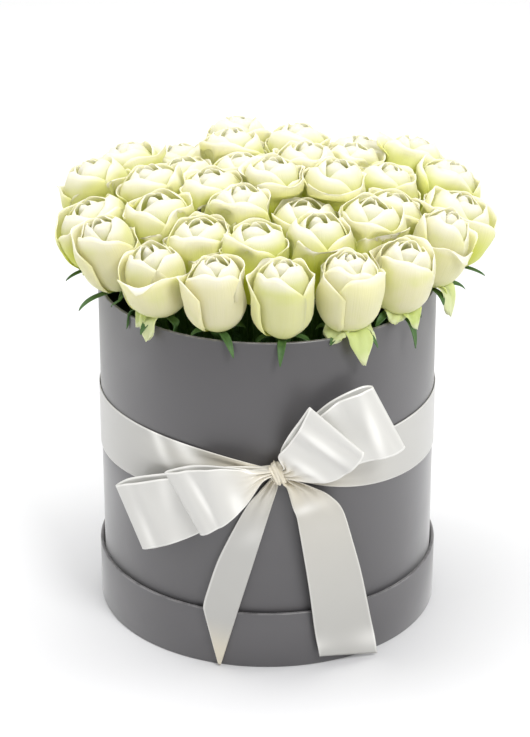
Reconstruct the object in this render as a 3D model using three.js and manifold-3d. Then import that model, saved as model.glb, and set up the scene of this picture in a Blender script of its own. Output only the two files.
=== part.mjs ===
// White roses in a round hat box: a paper-covered box standing in its own upturned lid,
// a plastic liner with flower foam inside it, cut roses pushed into the foam, and a satin ribbon
// tied round the box in a double bow.
// Millimetres, +Z up, origin at the centre of the lid's underside, bow towards -Y.
import * as THREE from "three";
import { mergeVertices } from "three/addons/utils/BufferGeometryUtils.js";
import Module from "manifold-3d";

// ---------------------------------------------------------------- driving dimensions
const BOX_RADIUS = 100; // outside of the box wall
const BOX_TOP = 208; // height of the box's rim above the table
const BOARD = 2; // greyboard thickness
const GLUE_GAP = 0.3; // left between pieces that touch
const LID_CLEARANCE = 0.8; // all round, between the box and the lid it stands in
const LID_HEIGHT = 36;
const LINER_WALL = 0.8;
const LINER_TOP = 194;
const FOAM_TOP = 150;
const ROUND_SIDES = 72; // facets of the box, the lid and the ribbon round them

const BLOOM_LENGTH = 48; // from the calyx to the top of the petals
const BLOOM_RADIUS = 15.3;
const STEM_RADIUS = 2.4;
const STEM_IN_FOAM = 55; // how deep the stems are pushed into the foam
const ROSE_SIDES = 10;
const HOLE_CLEARANCE = 0.35; // round a stem in the foam

const RIBBON_WIDTH = 38;
const RIBBON_THICK = 0.6;
const BAND_HEIGHT = 120.5; // middle of the ribbon at the back of the box
const KNOT = { bearing: 3.2, height: 131.3, standOff: 8.4, wide: 6.8, deep: 6.2, tall: 8 };

// ---------------------------------------------------------------- finishes
const finish = (color, roughness) => new THREE.MeshStandardMaterial({ color, roughness, metalness: 0 });
const GREY_PAPER = finish(0x757378, 0.6);
const BLACK_PLASTIC = finish(0x141414, 0.45);
const FOAM_GREEN = finish(0x2f5a35, 0.95);
const PETAL_WHITE = finish(0xf0efcf, 0.6);
const IVORY_SATIN = finish(0xefece2, 0.35);

// ---------------------------------------------------------------- helpers
const wasm = await Module();
wasm.setup();
const radians = THREE.MathUtils.degToRad;
const mix = THREE.MathUtils.lerp;

const root = new THREE.Group();
const lid = new THREE.Group();
const flowerBox = new THREE.Group();
root.add(lid, flowerBox);

function addPart(group, name, geometry, material) {
  const mesh = new THREE.Mesh(geometry, material);
  mesh.name = name;
  group.add(mesh);
  return mesh;
}

// The closed solid that a geometry's triangles bound, for joining and cutting.
function solidOf(geometry) {
  const bare = geometry.clone();
  bare.deleteAttribute("normal");
  bare.deleteAttribute("uv");
  const merged = mergeVertices(bare, 1e-3);
  const mesh = new wasm.Mesh({
    numProp: 3,
    vertProperties: new Float32Array(merged.attributes.position.array),
    triVerts: new Uint32Array(merged.index.array),
  });
  return new wasm.Manifold(mesh);
}

function geometryOf(solid) {
  const { vertProperties, triVerts } = solid.getMesh();
  return new THREE.BufferGeometry()
    .setAttribute("position", new THREE.BufferAttribute(new Float32Array(vertProperties), 3))
    .setIndex(new THREE.BufferAttribute(new Uint32Array(triVerts), 1));
}

// A solid of revolution about Z. The outline's points are [radius, height], and the outline is
// walked so that the material lies on its left.
function turned(outline, sides = ROUND_SIDES) {
  const points = outline.map(([radius, height]) => new THREE.Vector2(radius, height));
  return new THREE.LatheGeometry(points, sides).rotateX(Math.PI / 2);
}

function disc(radius, low, high) {
  return turned([[0, low], [radius, low], [radius, high], [0, high]]);
}

function tube(inner, outer, low, high) {
  return turned([[inner, low], [outer, low], [outer, high], [inner, high], [inner, low]]);
}

// The place at a bearing round the box (0 faces -Y, positive towards +X), at a radius and a height.
function around(bearing, radius, height) {
  const a = radians(bearing);
  return new THREE.Vector3(radius * Math.sin(a), -radius * Math.cos(a), height);
}

// A repeatable number from -1 to 1 for rose n, so that no two roses stand alike.
function scatter(n, salt) {
  const s = Math.sin(n * 12.9898 + salt * 78.233) * 43758.5453;
  return 2 * (s - Math.floor(s)) - 1;
}

// A strip of ribbon with a rectangular section through stations of
// { centre, across (unit vector over the width), out (unit vector through the thickness), width, thick }.
function strip(stations, closed = false) {
  const position = [];
  for (const { centre, across, out, width, thick } of stations) {
    for (const [w, t] of [[-1, -1], [1, -1], [1, 1], [-1, 1]]) {
      const corner = centre.clone();
      corner.addScaledVector(across, (w * width) / 2);
      corner.addScaledVector(out, (t * thick) / 2);
      position.push(...corner.toArray());
    }
  }
  const count = stations.length;
  const index = [];
  for (let i = 0; i < (closed ? count : count - 1); i++) {
    const a = 4 * i;
    const b = 4 * ((i + 1) % count);
    for (let k = 0; k < 4; k++) {
      const n = (k + 1) % 4;
      // Both broad faces are split along the same diagonal, or a twisted strip would cross itself.
      if (k < 2) index.push(a + k, a + n, b + n, a + k, b + n, b + k);
      else index.push(a + k, a + n, b + k, a + n, b + n, b + k);
    }
  }
  if (!closed) {
    const e = 4 * (count - 1);
    index.push(0, 3, 2, 0, 2, 1, e, e + 1, e + 2, e, e + 2, e + 3);
  }
  const geometry = new THREE.BufferGeometry();
  geometry.setAttribute("position", new THREE.Float32BufferAttribute(position, 3));
  geometry.setIndex(index);
  return geometry;
}

// ---------------------------------------------------------------- the lid that the box stands in
const lidInner = BOX_RADIUS + LID_CLEARANCE;
const lidOuter = lidInner + BOARD;
addPart(lid, "lid_disc", disc(lidInner - GLUE_GAP, 0, BOARD), GREY_PAPER);
addPart(lid, "lid_band", tube(lidInner, lidOuter, 0, LID_HEIGHT), GREY_PAPER);

// ---------------------------------------------------------------- the box and what is inside it
const boxBottom = BOARD + GLUE_GAP;
const boxInner = BOX_RADIUS - BOARD;
addPart(flowerBox, "box_wall", tube(boxInner, BOX_RADIUS, boxBottom, BOX_TOP), GREY_PAPER);
const boxFloorTop = boxBottom + BOARD;
addPart(flowerBox, "box_floor", disc(boxInner - GLUE_GAP, boxBottom, boxFloorTop), GREY_PAPER);

const linerOuter = boxInner - GLUE_GAP;
const linerInner = linerOuter - LINER_WALL;
const linerBottom = boxFloorTop + GLUE_GAP;
const linerFloor = linerBottom + LINER_WALL;
const linerOutline = [
  [0, linerBottom],
  [linerOuter, linerBottom],
  [linerOuter, LINER_TOP],
  [linerInner, LINER_TOP],
  [linerInner, linerFloor],
  [0, linerFloor],
];
addPart(flowerBox, "foam_liner", turned(linerOutline), BLACK_PLASTIC);

// ---------------------------------------------------------------- the roses
// The middles of the blooms stand on ellipses, a little wider than deep, at bearings that let the
// rings interlock. The tops stand at top in front, and rise by 2 * rise towards the back.
// lean is how far a rose leans outwards at the front, at the sides and at the back.
const RINGS = [
  { wide: 0, deep: 0, top: 277, rise: 0, lean: [0, 0, 0], bearings: [0] },
  { wide: 35, deep: 31, top: 271, rise: 2.5, lean: [1, 6, 4], bearings: [-32, 30, 90, 148, 212, 270] },
  {
    wide: 69,
    deep: 61,
    top: 264,
    rise: 4,
    lean: [3, 12, 8],
    bearings: [-68, -37, -8, 21, 50, 79, 109, 139, 168, 200, 231, 261],
  },
  {
    wide: 104,
    deep: 91.5,
    top: 257,
    rise: 5.5,
    lean: [5, 23, 12],
    bearings: [-40, -18, 3, 23.5, 44, 65, 86, 107.5, 129, 150, 171, 192, 213, 234, 255, 276, 297.5],
  },
];
const SHIFT_X = 3.5; // the whole bunch sits a little towards +X

const roseOutline = (stem) => [
  [0, -stem],
  [STEM_RADIUS, -stem],
  [STEM_RADIUS, -5],
  [4.2, -1],
  [9, 3],
  [0.8 * BLOOM_RADIUS, 9],
  [0.97 * BLOOM_RADIUS, 18],
  [BLOOM_RADIUS, 30],
  [BLOOM_RADIUS, 43],
  [0.78 * BLOOM_RADIUS, BLOOM_LENGTH],
  [0, BLOOM_LENGTH + 1],
];

// Turns a geometry made along +Z so that it leans outwards from the box's axis at a bearing,
// and stands it with its origin at the calyx.
function placeRose(geometry, rose) {
  const axis = around(rose.bearing, Math.sin(radians(rose.lean)), Math.cos(radians(rose.lean)));
  const turn = new THREE.Quaternion().setFromUnitVectors(new THREE.Vector3(0, 0, 1), axis);
  geometry.applyQuaternion(turn);
  return geometry.translate(rose.calyx.x, rose.calyx.y, rose.calyx.z);
}

const roses = [];
for (const { wide, deep, top, rise, lean, bearings } of RINGS) {
  for (const bearing of bearings) {
    const n = roses.length + 1;
    const [front, side, back] = lean;
    const sideways = Math.sin(radians(bearing)) ** 2;
    const facing = Math.cos(radians(bearing)); // 1 at the front, -1 at the back
    const straight = facing > 0 ? front : back;
    const rose = { bearing, lean: mix(straight, side, sideways) + (wide ? scatter(n, 1) : 0) };
    const height = top + rise * (1 - facing) + 2 * scatter(n, 2) - BLOOM_LENGTH * Math.cos(radians(rose.lean));
    const inwards = (BLOOM_LENGTH / 2) * Math.sin(radians(rose.lean)); // from the middle to the calyx
    rose.calyx = around(bearing, -inwards, height);
    rose.calyx.x += SHIFT_X + wide * Math.sin(radians(bearing));
    rose.calyx.y -= deep * facing;
    rose.stem = (height - FOAM_TOP + STEM_IN_FOAM) / Math.cos(radians(rose.lean));
    roses.push(rose);
  }
}
roses.forEach((rose, i) => {
  const geometry = placeRose(turned(roseOutline(rose.stem), ROSE_SIDES), rose);
  addPart(flowerBox, `rose_${String(i + 1).padStart(2, "0")}`, geometry, PETAL_WHITE);
});

// The foam is a drum with a hole for each stem.
const foamBottom = linerFloor + GLUE_GAP;
const holeOutline = (stem) => [
  [0, -stem - HOLE_CLEARANCE],
  [STEM_RADIUS + HOLE_CLEARANCE, -stem - HOLE_CLEARANCE],
  [STEM_RADIUS + HOLE_CLEARANCE, 0],
  [0, 0],
];
let foam = solidOf(disc(linerInner - GLUE_GAP, foamBottom, FOAM_TOP));
for (const rose of roses) {
  const hole = placeRose(turned(holeOutline(rose.stem), ROSE_SIDES), rose);
  foam = foam.subtract(solidOf(hole));
}
addPart(flowerBox, "foam_drum", geometryOf(foam), FOAM_GREEN);

// ---------------------------------------------------------------- the ribbon round the box
// It rises a little towards the front, where it gathers to run in under the knot.
function bandAt(bearing) {
  const fromKnot = Math.abs(THREE.MathUtils.euclideanModulo(bearing - KNOT.bearing + 180, 360) - 180);
  const rise = 5.5 * (0.5 + 0.5 * Math.cos(radians(Math.min(1.2 * fromKnot, 180))));
  const lift = 3.5 * Math.exp(-fromKnot / 9);
  const spread = 1 - Math.exp(-((fromKnot / 21) ** 1.1)); // 0 at the knot, 1 where the ribbon lies flat
  return { middle: BAND_HEIGHT + rise + lift, width: RIBBON_WIDTH * Math.max(spread, 0.2) };
}
const bandRadius = BOX_RADIUS + GLUE_GAP + RIBBON_THICK / 2;
const bandStations = [];
for (let i = 0; i < ROUND_SIDES; i++) {
  const bearing = (360 * i) / ROUND_SIDES;
  const { middle, width } = bandAt(bearing);
  const centre = around(bearing, bandRadius, middle);
  const across = new THREE.Vector3(0, 0, 1);
  bandStations.push({ centre, across, out: around(bearing, 1, 0), width, thick: RIBBON_THICK });
}
addPart(flowerBox, "ribbon_band", geometryOf(solidOf(strip(bandStations, true))), IVORY_SATIN);

// ---------------------------------------------------------------- the bow
const knotCentre = around(KNOT.bearing, BOX_RADIUS + KNOT.standOff, KNOT.height);
function knotShape(grow) {
  return new THREE.SphereGeometry(1, 14, 10)
    .scale(KNOT.wide + grow, KNOT.deep + grow, KNOT.tall + grow)
    .translate(knotCentre.x, knotCentre.y, knotCentre.z);
}
addPart(flowerBox, "bow_knot", knotShape(0), IVORY_SATIN);
const knotClearance = solidOf(knotShape(GLUE_GAP));

// A run of ribbon between two edges. An edge is a list of [bearing, height, stand-off from the wall]
// that starts at the knot, and both edges have the same number of points.
function addRun(name, edges, steps) {
  const curves = edges.map((edge) => {
    const points = edge.map(([bearing, height, standOff]) => around(bearing, BOX_RADIUS + standOff, height));
    return new THREE.CatmullRomCurve3(points, false, "centripetal");
  });
  const stations = [];
  for (let i = 0; i <= steps; i++) {
    const t = i / steps;
    const [first, second] = curves.map((curve) => curve.getPoint(t));
    const run = curves[0].getTangent(t).add(curves[1].getTangent(t)).normalize();
    const across = second.clone().sub(first).normalize();
    const out = new THREE.Vector3().crossVectors(run, across).normalize();
    const centre = first.clone().add(second).divideScalar(2);
    stations.push({ centre, across, out, width: first.distanceTo(second), thick: RIBBON_THICK });
  }
  const cut = solidOf(strip(stations)).subtract(knotClearance);
  addPart(flowerBox, name, geometryOf(cut), IVORY_SATIN);
}

// Each loop leaves the knot near the wall, turns at its far end and comes back in front.
// The edges are [upper, lower].
const LOOPS = {
  bow_loop_left_back: [
    [
      [-1.5, 134, 5.5], [-14, 133.7, 8], [-30, 125.4, 11], [-45, 113.3, 11.9], [-51.5, 103.8, 13.1],
      [-46, 109.6, 14.9], [-32, 121.3, 14.2], [-14, 131.4, 12.5], [-2, 134.5, 10],
    ],
    [
      [-0.5, 128, 5.5], [-9, 110.5, 7], [-20, 92, 9.5], [-34, 75, 11.3], [-39.8, 71.2, 13.1],
      [-36, 74.2, 15], [-24, 87.3, 15.5], [-10, 107.6, 15], [-1, 128, 10],
    ],
  ],
  bow_loop_left_front: [
    [
      [-2, 135, 12.5], [-10, 138.6, 17], [-20, 138, 18.6], [-27, 132.7, 19.3], [-29, 130.2, 20],
      [-26, 132, 20.9], [-17, 137.3, 20.7], [-8, 138, 19], [-1.5, 135.5, 14.5],
    ],
    [
      [-1.5, 129, 12.5], [-7, 113.4, 16.5], [-13, 102.2, 17.8], [-17.5, 96.6, 18.6], [-18.5, 94.8, 20],
      [-16.5, 96.4, 21.6], [-11, 104.6, 22], [-6, 115, 20], [-1, 129, 14.5],
    ],
  ],
  bow_loop_right_back: [
    [
      [7.5, 134, 5.5], [10, 156.4, 8], [17, 173.4, 11.5], [27, 181.4, 13], [31, 181, 14.8],
      [27.5, 180, 16.8], [18.5, 174.2, 15.2], [10.5, 157.6, 12.4], [7.5, 135.5, 10],
    ],
    [
      [8, 129, 5.5], [14, 134, 8], [24, 139.5, 15], [33, 144.6, 23.5], [37.3, 145.3, 28.2],
      [34, 142.4, 29.8], [25, 138.6, 22.4], [15, 133, 15], [8.2, 129.5, 10],
    ],
  ],
  bow_loop_right_front: [
    [
      [5.5, 137, 12], [3.6, 147.2, 15.5], [5.2, 157.8, 18.4], [8.6, 169, 19.2], [11.2, 178, 21],
      [9, 168.7, 23.2], [6, 156.6, 21.6], [3, 146.8, 17.6], [4.8, 137.5, 14.5],
    ],
    [
      [8.5, 130, 12], [13, 132, 16], [18, 136.4, 24], [22, 147.4, 32], [23.4, 152.2, 34.6],
      [22.4, 147, 36], [18.5, 134.6, 28.2], [13, 130.5, 21], [8, 130, 14.5],
    ],
  ],
};
for (const [name, edges] of Object.entries(LOOPS)) addRun(name, edges, 24);

// The tails hang from under the knot down to the table. The edges are [left, right].
const TAILS = {
  bow_tail_left: [
    [
      [0.5, 124, 3.6], [-3, 116, 3.8], [-7, 106, 4], [-15.2, 74, 4.6], [-19.4, 50, 5.2], [-20.7, 40, 5.6],
      [-20.5, 35.5, 5.6], [-18.4, 20, 5.6], [-15.9, 1.6, 5.6],
    ],
    [
      [3.5, 124, 3.6], [3, 118.5, 3.8], [0.9, 105.5, 4], [-4, 74, 4.6], [-8, 48.5, 5.2], [-9.7, 37.5, 5.6],
      [-10.3, 33.5, 5.6], [-12.8, 17, 5.6], [-15.2, 1.2, 5.6],
    ],
  ],
  bow_tail_right: [
    [
      [4.5, 124.5, 8], [6, 121, 8], [7.5, 110, 9.5], [8.9, 101.5, 9.5], [10.7, 81, 9], [13, 53, 8],
      [15.2, 22, 7], [16.6, 7.5, 7],
    ],
    [
      [8, 126, 8], [13, 122.5, 11], [18.5, 116, 12], [22.7, 105, 12], [26, 84, 12], [29.7, 58.7, 11],
      [33.5, 26, 10.5], [35.8, 2.5, 11],
    ],
  ],
};
for (const [name, edges] of Object.entries(TAILS)) addRun(name, edges, 18);

export default root;
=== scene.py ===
# %% [markdown]
# # White roses in a round hat box
# The object is a round box wrapped in warm grey paper. It stands in its own upturned lid, it is
# packed with cream white roses, and a wide satin ribbon is tied round it in a double bow.
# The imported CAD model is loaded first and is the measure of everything: each Blender piece is
# built from its nodes' sizes, rides on one of its two bodies, and stands for the plain solid
# that it hides.

import math
import bpy
import numpy as np
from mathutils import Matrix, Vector


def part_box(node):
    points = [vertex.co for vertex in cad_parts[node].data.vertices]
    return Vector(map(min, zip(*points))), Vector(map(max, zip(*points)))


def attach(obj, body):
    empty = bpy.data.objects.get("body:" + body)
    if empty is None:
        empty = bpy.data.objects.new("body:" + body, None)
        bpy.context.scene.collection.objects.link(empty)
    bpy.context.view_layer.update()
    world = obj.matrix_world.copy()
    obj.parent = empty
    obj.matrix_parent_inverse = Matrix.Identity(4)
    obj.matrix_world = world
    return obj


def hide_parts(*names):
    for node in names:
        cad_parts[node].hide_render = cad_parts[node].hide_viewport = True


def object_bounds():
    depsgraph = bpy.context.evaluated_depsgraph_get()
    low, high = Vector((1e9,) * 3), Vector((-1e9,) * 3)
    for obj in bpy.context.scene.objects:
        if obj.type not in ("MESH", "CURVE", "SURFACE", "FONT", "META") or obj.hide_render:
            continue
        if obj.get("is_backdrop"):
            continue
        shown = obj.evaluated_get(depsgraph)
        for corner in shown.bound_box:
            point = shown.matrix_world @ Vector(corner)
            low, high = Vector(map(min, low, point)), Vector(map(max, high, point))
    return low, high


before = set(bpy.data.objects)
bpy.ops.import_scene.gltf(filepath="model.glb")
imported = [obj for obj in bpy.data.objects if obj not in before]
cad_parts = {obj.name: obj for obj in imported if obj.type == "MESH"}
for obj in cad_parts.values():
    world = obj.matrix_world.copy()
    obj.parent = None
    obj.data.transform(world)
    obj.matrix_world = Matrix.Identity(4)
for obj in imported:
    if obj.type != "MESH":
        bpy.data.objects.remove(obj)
cad_box = [list(corner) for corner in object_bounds()]
LID, BOX = "lid", "flower_box"
MM = 0.001
print("CAD box in mm:", [[round(v / MM, 1) for v in corner] for corner in cad_box])

# %% [markdown]
# ## Nodes written as formulas
# Materials and roses are both made of nodes, and a tree of Math nodes is hard to read as a
# picture. A Field stands for one output of a node, so adding two Fields adds a Math node and
# links it. plug sets or links a node's inputs by name.

# %% Fields and node helpers


def plug(node, sockets):
    """Gives inputs of a node their values: a Field is linked, and anything else is set."""
    for key, value in sockets.items():
        socket = node.inputs[key.replace("_", " ") if isinstance(key, str) else key]
        if isinstance(value, Field):
            value.tree.links.new(value.source, socket)
        else:
            socket.default_value = value


def new_node(tree, kind, sockets=None, **properties):
    node = tree.nodes.new(kind)
    for key, value in properties.items():
        setattr(node, key, value)
    plug(node, sockets or {})
    return node


def result(tree, kind, sockets=None, output=0, **properties):
    """Adds a node, and returns one of its outputs as a Field."""
    return Field(tree, new_node(tree, kind, sockets, **properties).outputs[output])


def math_method(operation):
    return lambda self, *others: self.math(operation, *others)


class Field:
    """A value that varies over a surface; its operators add nodes to its tree."""

    def __init__(self, tree, source):
        self.tree = tree
        self.source = source

    def math(self, operation, *others, clamp=False):
        terms = dict(enumerate((self, *others)))
        return result(self.tree, "ShaderNodeMath", terms, operation=operation, use_clamp=clamp)

    __add__ = __radd__ = math_method("ADD")
    __sub__ = math_method("SUBTRACT")
    __mul__ = __rmul__ = math_method("MULTIPLY")
    __truediv__ = math_method("DIVIDE")
    __pow__ = math_method("POWER")
    sin = math_method("SINE")
    cos = math_method("COSINE")
    exp = math_method("EXPONENT")
    abs = math_method("ABSOLUTE")

    def __neg__(self):
        return self * -1

    def __rsub__(self, number):
        return -self + number

    def clamped(self):
        return self.math("ADD", 0, clamp=True)

    def ranged(self, low, high, to_low=0.0, to_high=1.0, kind="SMOOTHSTEP"):
        """Maps low..high smoothly to to_low..to_high, and stays level outside."""
        limits = {"Value": self, "From Min": low, "From Max": high, "To Min": to_low, "To Max": to_high}
        return result(self.tree, "ShaderNodeMapRange", limits, "Result", interpolation_type=kind)

    def mixed(self, a, b):
        """The colour that is this share of the way from a to b."""
        return result(self.tree, "ShaderNodeMix", {0: self, 6: a, 7: b}, 2, data_type="RGBA")


def combined(tree, x, y, z):
    return result(tree, "ShaderNodeCombineXYZ", {0: x, 1: y, 2: z})


def separated(place, axis):
    return result(place.tree, "ShaderNodeSeparateXYZ", {0: place}, axis)


def coordinates(tree, kind="Object"):
    return result(tree, "ShaderNodeTexCoord", output=kind)


def noise(tree, scale, detail=2, place=None):
    """Soft noise about 0.5, over the object's own coordinates unless a place is given."""
    sockets = {"Vector": place or coordinates(tree), "Scale": scale, "Detail": detail}
    return result(tree, "ShaderNodeTexNoise", sockets, "Fac")


def attribute(tree, name):
    return result(tree, "ShaderNodeAttribute", output="Fac", attribute_name=name)


def bump(height, strength, distance):
    sockets = {"Strength": strength, "Distance": distance, "Height": height}
    return result(height.tree, "ShaderNodeBump", sockets, "Normal")


def new_tree(kind, name, inputs, outputs):
    """An empty shader or geometry node tree. Inputs map names to starting values, and a material
    has None. Returns the tree, its inputs as Fields, and its output node."""
    kinds = {int: "NodeSocketInt", float: "NodeSocketFloat", type(None): "NodeSocketMaterial"}
    tree = bpy.data.node_groups.new(name, kind)
    for key, value in inputs.items():
        socket = tree.interface.new_socket(key, in_out="INPUT", socket_type=kinds[type(value)])
        if value is not None:
            socket.default_value = value
    output_kind = "NodeSocketFloat" if kind == "ShaderNodeTree" else "NodeSocketGeometry"
    for key in outputs:
        tree.interface.new_socket(key, in_out="OUTPUT", socket_type=output_kind)
    entry = tree.nodes.new("NodeGroupInput")
    return tree, {key: Field(tree, entry.outputs[key]) for key in inputs}, tree.nodes.new("NodeGroupOutput")


def grouped(tree, group, **sockets):
    """Uses a shader node group, and returns its outputs as Fields."""
    node = new_node(tree, "ShaderNodeGroup", sockets, node_tree=group)
    return [Field(tree, socket) for socket in node.outputs]


def new_material(name, **sockets):
    """A material, its tree and its Principled shader, with values for the shader's sockets."""
    material = bpy.data.materials.new(name)
    material.use_nodes = True
    shader = material.node_tree.nodes["Principled BSDF"]
    plug(shader, sockets)
    return material, material.node_tree, shader


def place_object(name, data):
    thing = bpy.data.objects.new(name, data)
    bpy.context.scene.collection.objects.link(thing)
    return thing


# %% [markdown]
# ## Camera, floor and light
# A long lens from a little above keeps the box's sides nearly upright, as in a catalogue. The
# floor is one large pale sheet with painted shade: its colour is a shade greyer under the
# object, which deepens the object's shadow. The light is a white room with a broad soft source
# overhead, a small one in front and two tall ones at the sides: satin paper mirrors the tall
# ones in its flanks and stays darker in the middle, which is what shows that the box is round.

# %% Camera
CAMERA_PLACE = (0, -1.4288, 0.8115)
CAMERA_PITCH = 24.97  # degrees down from level

camera_data = bpy.data.cameras.new("camera")
camera_data.lens = 128.2
camera_data.sensor_width = 36
camera_data.shift_x = -0.0032
camera = place_object("camera", camera_data)
camera.location = CAMERA_PLACE
camera.rotation_euler = (math.radians(90 - CAMERA_PITCH), 0, 0)
bpy.context.scene.camera = camera
print("camera at", CAMERA_PLACE)

# %% Floor and lights
# Painted shade: the floor's colour near the object is greyer than far off.
FLOOR_PAINTED_SHADE = (0.76, 0.76, 0.77, 1)
FLOOR_FAR = (0.93, 0.93, 0.93, 1)
FLOOR_HALF = 4.0
WORLD_STRENGTH = 0.52


def add_floor():
    mesh = bpy.data.meshes.new("floor")
    corners = [(x * FLOOR_HALF, y * FLOOR_HALF, 0) for x, y in ((-1, -1), (1, -1), (1, 1), (-1, 1))]
    mesh.from_pydata(corners, [], [(0, 1, 2, 3)])
    material, tree, shader = new_material("studio_floor", Roughness=0.8)
    distance = result(tree, "ShaderNodeVectorMath", {0: coordinates(tree)}, "Value", operation="LENGTH")
    # Painted shade: the floor is greyer near the object and pales with distance.
    plug(shader, {"Base Color": distance.ranged(0.15, 1.0).mixed(FLOOR_PAINTED_SHADE, FLOOR_FAR)})
    mesh.materials.append(material)
    place_object("floor", mesh)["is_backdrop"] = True


def add_area_light(name, place, target, size, power):
    data = bpy.data.lights.new(name, "AREA")
    data.shape = "RECTANGLE"
    data.size, data.size_y = size
    data.energy = power
    light = place_object(name, data)
    light.location = place
    light.rotation_euler = (Vector(target) - Vector(place)).to_track_quat("-Z", "Y").to_euler()


add_floor()
add_area_light("overhead", (-0.1, 0.25, 1.7), (0, 0.1, 0.15), (1.5, 1.2), 25)
add_area_light("key", (0.6, -1.1, 1.25), (0, 0, 0.15), (0.45, 0.45), 13)
for name, x in (("left_strip", -1.3), ("right_strip", 1.3)):
    add_area_light(name, (x, 0.1, 0.5), (0, 0, 0.12), (0.6, 1.4), 4.5)
world = bpy.data.worlds.new("white_room")
world.use_nodes = True
plug(world.node_tree.nodes["Background"], {"Color": (1, 1, 1, 1), "Strength": WORLD_STRENGTH})
bpy.context.scene.world = world
bpy.context.scene.view_settings.view_transform = "Standard"

# %% [markdown]
# ## Mesh helpers
# Nearly every piece here is a grid of points joined into four-sided faces: a turned card tube,
# a ribbon, a stem. So a few small helpers do the joining, write the UV map that the weave
# follows, and let each piece ride on its body and hide the node it stands for.

# %% Helpers for points in rows and columns


def quads(index):
    """Faces that join a grid of vertex numbers."""
    corners = index[:-1, :-1], index[:-1, 1:], index[1:, 1:], index[1:, :-1]
    return np.stack(corners, axis=-1).reshape(-1, 4).tolist()


def tube_faces(rows, columns):
    """Faces of a tube whose rows are closed rings, with both of its ends capped."""
    index = np.arange(rows * columns).reshape(rows, columns)
    return quads(np.hstack([index, index[:, :1]])) + [index[0, ::-1].tolist(), index[-1].tolist()]


def declare(piece, node=None, body=BOX):
    """Lets a piece ride on its body and stand for its node."""
    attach(piece, body)
    if node:
        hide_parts(node)
    return piece


def new_piece(name, points, faces, material, node=None, body=BOX, smooth=True):
    mesh = bpy.data.meshes.new(name)
    mesh.from_pydata(np.asarray(points, float).tolist(), [], faces)
    mesh.validate()
    if smooth:
        mesh.shade_smooth()
    mesh.materials.append(material)
    return declare(place_object(name, mesh), node, body)


def write_uv(mesh, uv_of_vertex):
    """Gives each corner its vertex's UV."""
    layer = mesh.uv_layers.new(name="UVMap")
    corner = np.zeros(len(mesh.loops), int)
    mesh.loops.foreach_get("vertex_index", corner)
    layer.data.foreach_set("uv", np.asarray(uv_of_vertex, np.float32)[corner].ravel())


def write_number(mesh, name, values):
    mesh.attributes.new(name, "FLOAT", "POINT").data.foreach_set("value", np.asarray(values, np.float32))


def turned(name, outline, material, node, body, sides=192):
    """Turns an outline of (radius, height) points round the box's axis. An outline that starts on
    the axis makes a disc, with one vertex at each end, and any other is closed into a tube."""
    angle = np.linspace(0, 2 * math.pi, sides, endpoint=False)
    points, rings = [], []
    for radius, height in outline:
        around_axis = angle if radius > 0 else angle[:1]
        rings.append([len(points) + k % len(around_axis) for k in range(sides)])
        points += [(radius * math.cos(a), radius * math.sin(a), height) for a in around_axis]
    if outline[0][0] > 0:
        rings.append(rings[0])
    faces = []
    for lower, upper in zip(rings, rings[1:]):
        for k in range(sides):
            n = (k + 1) % sides
            faces.append(list(dict.fromkeys([lower[k], lower[n], upper[n], upper[k]])))
    return new_piece(name, points, faces, material, node, body)


# %% [markdown]
# ## Grey paper and card
# The box and lid are greyboard about 2 mm thick, wrapped in a matt, faintly silky paper. Up
# close such a paper has a fine felt-like grain and a soft mottle. Along the rims it is painted
# paler, partly rubbed wear and partly a painted highlight on the rounded edge. The grain and the
# rim's pale line are node groups because every card piece uses them.

# %% Paper grain, and rim wear with a painted highlight, as shader groups


def build_paper_grain():
    scales = {"Mottle scale": 24.0, "Fibre scale": 900.0}
    tree, given, outputs = new_tree("ShaderNodeTree", "paper_grain", scales, ["Mottle", "Height"])
    mottle = noise(tree, given["Mottle scale"], 3)
    plug(outputs, {"Mottle": mottle, "Height": noise(tree, given["Fibre scale"], 4)})
    return tree


def build_rim_rub_and_highlight():
    """A mask that is 1 on a rim at the given height and gone within its width, broken up by noise. It paints
    the rim paler: partly rubbed wear, partly a painted highlight.
    """
    sizes = {"Rim height": 0.2, "Width": 0.001}
    tree, given, outputs = new_tree("ShaderNodeTree", "rim_rub_and_painted_highlight", sizes, ["Mask"])
    share = (given["Rim height"] - separated(coordinates(tree), "Z")).abs() / given["Width"]
    patchy = noise(tree, 160).ranged(0.35, 0.65, 0.35, 1.0)
    plug(outputs, {"Mask": share.ranged(0.0, 1.0, 1.0, 0.0) * patchy})
    return tree


PAPER_GRAIN = build_paper_grain()
RIM_RUB_AND_HIGHLIGHT = build_rim_rub_and_highlight()
print("groups:", PAPER_GRAIN.name, RIM_RUB_AND_HIGHLIGHT.name)

# %% The paper-wrapped card materials
PAPER_DARK = (0.056, 0.0535, 0.0572)
PAPER_LIGHT = (0.070, 0.0666, 0.071)
# The rims' pale colour: partly rubbed wear, partly a painted highlight.
PAPER_RUB_AND_HIGHLIGHT = (0.30, 0.29, 0.29, 1)


def paper_material(name, rim_height, tint=1.0):
    material, tree, shader = new_material(
        name, Roughness=0.42, Specular_IOR_Level=1.0, Sheen_Weight=0.6, Sheen_Roughness=0.4
    )
    mottle, fibre = grouped(tree, PAPER_GRAIN)
    (rim_rub_and_highlight_mask,) = grouped(tree, RIM_RUB_AND_HIGHLIGHT, Rim_height=rim_height, Width=0.0012)
    base = mottle.mixed(*([v * tint for v in colour] + [1] for colour in (PAPER_DARK, PAPER_LIGHT)))
    plug(shader, {
        # The rim's pale line is partly rubbed wear and partly a painted highlight.
        "Base Color": rim_rub_and_highlight_mask.ranged(0.0, 1.0, 0.0, 0.45).mixed(base, PAPER_RUB_AND_HIGHLIGHT),
        "Roughness": mottle.ranged(0.3, 0.7, 0.38, 0.47),
        "Normal": bump(fibre, 0.12, 0.0002),
    })
    return material


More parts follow.
